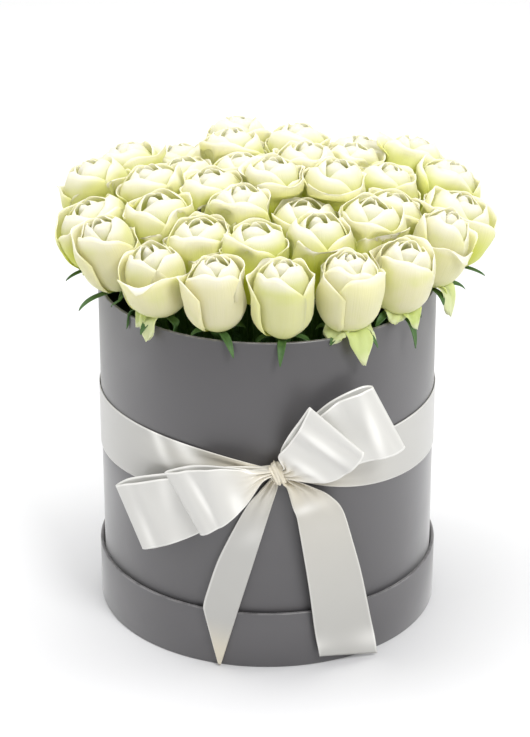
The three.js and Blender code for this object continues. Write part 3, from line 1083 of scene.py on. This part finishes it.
def joined(line, other):
    """Faces between two lines of vertex numbers."""
    return quads(np.stack([line, other], axis=1))


def ribbon_piece(name, node, grid, gather, painted_highlight, ring=False):
    """A closed thin piece of ribbon from a grid of points: rows along it, columns across it.
    gather is given for each row, and the painted highlight for each point."""
    rows, columns = grid.shape[:2]
    u = np.linspace(0, 1, columns)
    edge = np.clip((np.abs(u - 0.5) - 0.46) / 0.02, 0, 1)
    half = sheet_normals(grid, ring) * RIBBON_THICK * (0.5 + 0.2 * edge)[None, :, None]
    points = np.concatenate([(grid + half).reshape(-1, 3), (grid - half).reshape(-1, 3)])
    index = np.arange(rows * columns).reshape(rows, columns)
    index = np.vstack([index, index[:1]]) if ring else index
    back = index + rows * columns
    faces = quads(index.T) + quads(back)
    faces += joined(index[:, 0], back[:, 0]) + joined(back[:, -1], index[:, -1])
    if not ring:
        faces += joined(back[0], index[0]) + joined(index[-1], back[-1])
    piece = new_piece(name, points, faces, ivory_satin, node)
    steps = np.linalg.norm(np.diff(grid.mean(axis=1), axis=0), axis=1)
    run = np.concatenate([[0], np.cumsum(steps)]) / RIBBON_WIDTH
    uv = np.stack(np.broadcast_arrays(u[None, :], run[:, None]), axis=-1).reshape(-1, 2)
    write_uv(piece.data, np.concatenate([uv, uv]))
    write_number(piece.data, "gather", np.tile(np.repeat(gather, columns), 2))
    write_number(piece.data, "painted_highlight", np.tile(painted_highlight.ravel(), 2))
    return piece


# %% [markdown]
# ### The ribbon round the box
# It lies flat on the wall at the back and sides. Towards the knot it rises a little, narrows,
# and breaks into pleats that run in under the knot.

# %% The band


def build_band():
    rows, columns = 360, 33
    bearing = (np.arange(rows) * 360 / rows)[:, None]
    w = np.linspace(-0.5, 0.5, columns)[None, :]
    signed = (bearing - KNOT_BEARING + 180) % 360 - 180
    from_knot = np.abs(signed)
    middle = 120.5 + 5.5 * (0.5 + 0.5 * np.cos(np.radians(np.minimum(1.2 * from_knot, 180))))
    middle = middle + 3.5 * np.exp(-from_knot / 9)
    spread = np.maximum(1 - np.exp(-((from_knot / 21) ** 1.1)), 0.2)
    height = middle + RIBBON_WIDTH / MM * spread * w
    pleats = np.sin(2 * math.pi * (3.5 * w + 0.012 * signed))
    depth = np.clip(1 - spread, 0, 1) ** 1.2
    puff = np.exp(-(((signed + 34) / 13) ** 2)) * np.exp(-(((w - 0.05) / 0.3) ** 2))
    stand_off = 0.6 + depth * 1.1 * (1 + pleats) + 3.5 * puff
    grid = around(np.broadcast_to(bearing, height.shape), height, stand_off)
    # Painted highlight on the band's puff and creases left of the knot.
    slanted = signed + 14 * w
    creased = np.exp(-(((slanted + 25) / 4) ** 2)) + 0.8 * np.exp(-(((slanted + 36) / 2.5) ** 2))
    painted_highlight = 0.8 * np.minimum(creased, 1) * np.clip(0.5 + 1.5 * w, 0, 1)
    piece = ribbon_piece("ribbon_round_box", "ribbon_band", grid, 1 - spread[:, 0], painted_highlight, ring=True)
    print(piece.name, len(piece.data.polygons), "faces")


build_band()

# %% [markdown]
# ### Loops and tails
# Each loop leaves the knot near the wall, turns at its far end and comes back in front, and each
# tail hangs to the table. A run of ribbon is given by its two edges as a few places in front of
# the wall: bearing in degrees, height and stand-off in mm. A smooth curve passes through them.

# %% Loops and tails as edges
LOOPS = {
    "bow_loop_left_back": (
        [(-1.5, 134, 5.5), (-14, 133.7, 8), (-30, 125.4, 11), (-45, 113.3, 11.9), (-51.5, 103.8, 13.1),
         (-46, 109.6, 14.9), (-32, 121.3, 14.2), (-14, 131.4, 12.5), (-2, 134.5, 10)],
        [(-0.5, 128, 5.5), (-9, 110.5, 7), (-20, 92, 9.5), (-34, 75, 11.3), (-39.8, 71.2, 13.1),
         (-36, 74.2, 15), (-24, 87.3, 15.5), (-10, 107.6, 15), (-1, 128, 10)],
    ),
    "bow_loop_left_front": (
        [(-2, 135, 12.5), (-10, 138.6, 17), (-20, 138, 18.6), (-27, 132.7, 19.3), (-29, 130.2, 20),
         (-26, 132, 20.9), (-17, 137.3, 20.7), (-8, 138, 19), (-1.5, 135.5, 14.5)],
        [(-1.5, 129, 12.5), (-7, 113.4, 16.5), (-13, 102.2, 17.8), (-17.5, 96.6, 18.6), (-18.5, 94.8, 20),
         (-16.5, 96.4, 21.6), (-11, 104.6, 22), (-6, 115, 20), (-1, 129, 14.5)],
    ),
    "bow_loop_right_back": (
        [(7.5, 134, 5.5), (10, 156.4, 8), (17, 173.4, 11.5), (27, 181.4, 13), (31, 181, 14.8),
         (27.5, 180, 16.8), (18.5, 174.2, 15.2), (10.5, 157.6, 12.4), (7.5, 135.5, 10)],
        [(8, 129, 5.5), (14, 134, 8), (24, 139.5, 15), (33, 144.6, 23.5), (37.3, 145.3, 28.2),
         (34, 142.4, 29.8), (25, 138.6, 22.4), (15, 133, 15), (8.2, 129.5, 10)],
    ),
    "bow_loop_right_front": (
        [(5.5, 137, 12), (3.6, 147.2, 15.5), (5.2, 157.8, 18.4), (8.6, 169, 19.2), (11.2, 178, 21),
         (9, 168.7, 23.2), (6, 156.6, 21.6), (3, 146.8, 17.6), (4.8, 137.5, 14.5)],
        [(8.5, 130, 12), (13, 132, 16), (18, 136.4, 24), (22, 147.4, 32), (23.4, 152.2, 34.6),
         (22.4, 147, 36), (18.5, 134.6, 28.2), (13, 130.5, 21), (8, 130, 14.5)],
    ),
}
TAILS = {
    "bow_tail_left": (
        [(0.5, 124, 3.6), (-3, 116, 3.8), (-7, 106, 4), (-15.2, 74, 4.6), (-19.4, 50, 5.2),
         (-20.7, 40, 5.6), (-20.5, 35.5, 5.6), (-18.4, 20, 5.6), (-15.9, 1.6, 5.6)],
        [(3.5, 124, 3.6), (3, 118.5, 3.8), (0.9, 105.5, 4), (-4, 74, 4.6), (-8, 48.5, 5.2),
         (-9.7, 37.5, 5.6), (-10.3, 33.5, 5.6), (-12.8, 17, 5.6), (-15.2, 1.2, 5.6)],
    ),
    "bow_tail_right": (
        [(4.5, 124.5, 8), (6, 121, 8), (7.5, 110, 9.5), (8.9, 101.5, 9.5), (10.7, 81, 9), (13, 53, 8),
         (15.2, 22, 7), (16.6, 7.5, 7)],
        [(8, 126, 8), (13, 122.5, 11), (18.5, 116, 12), (22.7, 105, 12), (26, 84, 12), (29.7, 58.7, 11),
         (33.5, 26, 10.5), (35.8, 2.5, 11)],
    ),
}


# Creases that a fold leaves across a loop's front layer: place along the run, depth in mm, width.
# A raised crease also gets a painted highlight.
CREASES = {
    "bow_loop_left_back": [(0.55, 0.8, 0.02), (0.60, -1.0, 0.025), (0.66, 1.0, 0.03)],
    "bow_loop_left_front": [(0.55, -1.0, 0.022), (0.60, 1.5, 0.024), (0.665, -1.2, 0.03), (0.75, 1.3, 0.05)],
    "bow_loop_right_back": [(0.54, -1.0, 0.02), (0.585, 1.3, 0.025), (0.65, -1.0, 0.03), (0.73, 1.4, 0.05)],
    "bow_loop_right_front": [(0.55, -1.0, 0.02), (0.61, 1.5, 0.03), (0.69, -1.3, 0.035), (0.79, 1.3, 0.04)],
    "bow_tail_left": [(0.35, 0.5, 0.08)],
    "bow_tail_right": [(0.22, 1.0, 0.04), (0.33, -1.0, 0.05), (0.93, 1.2, 0.06)],
}
FOLD_RADIUS = 0.8 * MM
PLEAT_DEPTH = 2.2 * MM
LOOP_PAINTED_HIGHLIGHT, MOST_PAINTED_HIGHLIGHT = 0.32, 0.8


def flat_section(columns):
    """Across a flat ribbon: each column's share of the width, and its depth (none)."""
    return np.linspace(0, 1, columns), np.zeros(columns)


def doubled_section(columns):
    """Across a ribbon doubled lengthwise: its front layer, the fold, and the layer behind."""
    u = np.linspace(0, 1, columns)
    turn = np.clip((u - 0.46) / 0.08, 0, 1) * math.pi
    share = np.minimum(u / 0.46, 1) - 0.92 * np.maximum((u - 0.54) / 0.46, 0)
    depth = -FOLD_RADIUS * (1 - np.cos(turn)) - 0.5 * MM * np.maximum((u - 0.54) / 0.46, 0)
    return share, depth


def ribbon_run(name, edges, rows, section, pleats, held, layers=1):
    share, depth = section
    loop = held == "gathered"
    first, second = run_edges(edges, rows, both_ends=loop)
    between = (second - first)[:, None, :]
    width = np.linalg.norm(second - first, axis=1)
    gather = np.clip(1 - layers * width / RIBBON_WIDTH, 0, 1)
    normal = sheet_normals(first[:, None, :] + between * np.linspace(0, 1, len(share))[None, :, None])
    across = share[None, :]
    run = np.linspace(0, 1, rows)[:, None]
    near_knot = np.clip(np.maximum(1 - run / 0.3, (run - 0.7) / 0.3 if loop else 0), 0, 1)
    waves = np.sin(2 * math.pi * pleats * (across + 0.15 * run)) * near_knot**0.8 * gather[:, None] ** 0.8
    offset = depth[None, :] + PLEAT_DEPTH * waves
    # Painted highlight: loops are painted lighter all over, and raised creases lighter still.
    painted_highlight = np.full_like(offset, LOOP_PAINTED_HIGHLIGHT if loop else 0)
    for place, height, spread in CREASES[name]:
        skewed = run - place + 0.03 * (across - 0.5) * np.sin(40 * place)
        strength = 0.7 + 0.3 * np.sin(5 * across + 30 * place)
        crease = strength * np.exp(-((skewed / spread) ** 2))
        offset = offset + height * MM * crease
        painted_highlight = painted_highlight + 0.45 * max(height, 0) * crease**2
    grid = first[:, None, :] + between * share[None, :, None] + normal * offset[..., None]
    piece = ribbon_piece(name + "_satin", name, grid, gather, np.minimum(painted_highlight, MOST_PAINTED_HIGHLIGHT))
    lengths = [np.linalg.norm(np.diff(edge, axis=0), axis=1).sum() for edge in (first, second)]
    print(name, [round(v / MM) for v in lengths], "mm along its edges")


for name, edges in LOOPS.items():
    ribbon_run(name, edges, 140, flat_section(29), 3.0, "gathered")
ribbon_run("bow_tail_right", TAILS["bow_tail_right"], 110, flat_section(29), 2.0, "hung")

# The left tail is doubled lengthwise and cut at a slant, so that it ends in a point at its fold.
ribbon_run("bow_tail_left", TAILS["bow_tail_left"], 110, doubled_section(45), 2.0, "hung", 2)

# %% [markdown]
# ### The knot
# A turn of the ribbon is pulled tight round the middle of the bow. It passes over the front from
# top to bottom, so its creases run up and down, and it is squeezed narrow at both sides.

# %% The knot
KNOT_WIDE, KNOT_DEEP, KNOT_TALL = 5.0, 5.6, 7.4  # half sizes in mm
KNOT_TILT = math.radians(20)  # the turn leans, its top towards the left


def build_knot():
    rows, columns = 61, 64
    x = np.linspace(-1, 1, rows)[:, None]
    turn = np.linspace(0, 2 * math.pi, columns, endpoint=False)[None, :]
    bulge = np.sqrt(np.clip(1 - np.abs(x) ** 2.6, 0, 1)) * 0.9 + 0.08
    creases = 0.06 * np.sin(7 * x + 1.6 * np.sin(turn)) + 0.045 * np.sin(15 * x - 2.2 * np.cos(turn))
    pinch = 1 - 0.16 * np.cos(turn) ** 2 * np.abs(x)
    size = bulge * (1 + creases)
    sideways = x * KNOT_WIDE * pinch * (1 + 0.12 * np.sin(2 * turn))
    height = KNOT_TALL * size * np.sin(turn)
    local = np.stack(
        [
            sideways * math.cos(KNOT_TILT) - height * math.sin(KNOT_TILT),
            -KNOT_DEEP * size * np.cos(turn),
            sideways * math.sin(KNOT_TILT) + height * math.cos(KNOT_TILT),
        ],
        axis=-1,
    )
    a = math.radians(KNOT_BEARING)
    right_inwards_up = np.array([(math.cos(a), math.sin(a), 0), (-math.sin(a), math.cos(a), 0), (0, 0, 1)])
    points = (local @ right_inwards_up).reshape(-1, 3) * MM
    points = points + around(KNOT_BEARING, KNOT_HEIGHT, KNOT_STAND_OFF)
    faces = tube_faces(rows, columns)
    piece = new_piece("bow_knot_satin", points, faces, ivory_satin, "bow_knot")
    uv = np.stack(np.broadcast_arrays((x + 1) / 2, turn / 2), axis=-1).reshape(-1, 2)
    write_uv(piece.data, uv)
    # The knot is painted with the warm shading of the gathers.
    write_number(piece.data, "gather", np.full(len(points), 0.9))
    print(piece.name, len(points), "points")


build_knot()

# %% [markdown]
# ## Finish
# The visual model's box is printed in millimetres, as the CAD model's box is near the start.
# The visual model has to stay within the CAD model's box, apart from the small margin that soft
# things may stand proud.

# %% Print the visual model's box
visual_box = [list(corner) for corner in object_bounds()]
print("visual box in mm:", [[round(v / MM, 1) for v in corner] for corner in visual_box])
